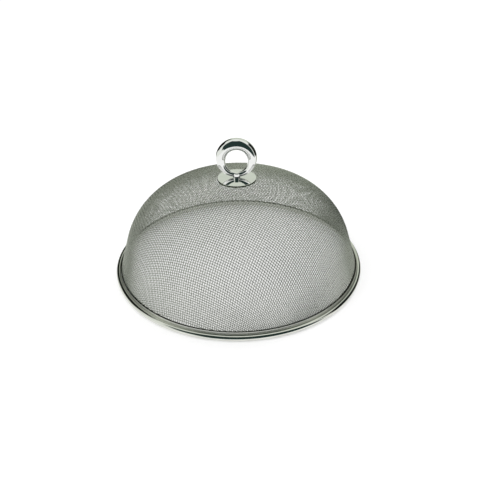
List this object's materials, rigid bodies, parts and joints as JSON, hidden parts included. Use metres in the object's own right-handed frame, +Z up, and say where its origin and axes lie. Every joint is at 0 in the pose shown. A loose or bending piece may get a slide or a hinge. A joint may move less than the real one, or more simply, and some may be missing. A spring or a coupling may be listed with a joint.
{
  "type": "food cover",
  "caption": "Domed food cover of woven wire cloth hemmed in a rolled metal rim, with a finger ring on a round plate; it stands over a dish and is lifted off by the ring.",
  "frame": {"origin": "middle of the rim, on the table plane", "axes": "+Z up along the dome's axis, +X to the right across the ring's finger hole, -Y towards the viewer"},
  "size_m": [0.3, 0.3, 0.161],
  "materials": {
    "wire": "bright drawn stainless steel wire",
    "rim": "polished stainless steel",
    "handle": "mirror polished",
    "hardware": "plain bright steel"
  },
  "bodies": {
    "root": {"warp_wires": "wire", "weft_wires": "wire", "rim_channel": "rim", "rim_wire": "hardware", "base_plate": "handle", "stem": "handle", "ring_handle": "handle", "backing_washer": "hardware", "fixing_screw": "hardware"}
  },
  "joints": []
}
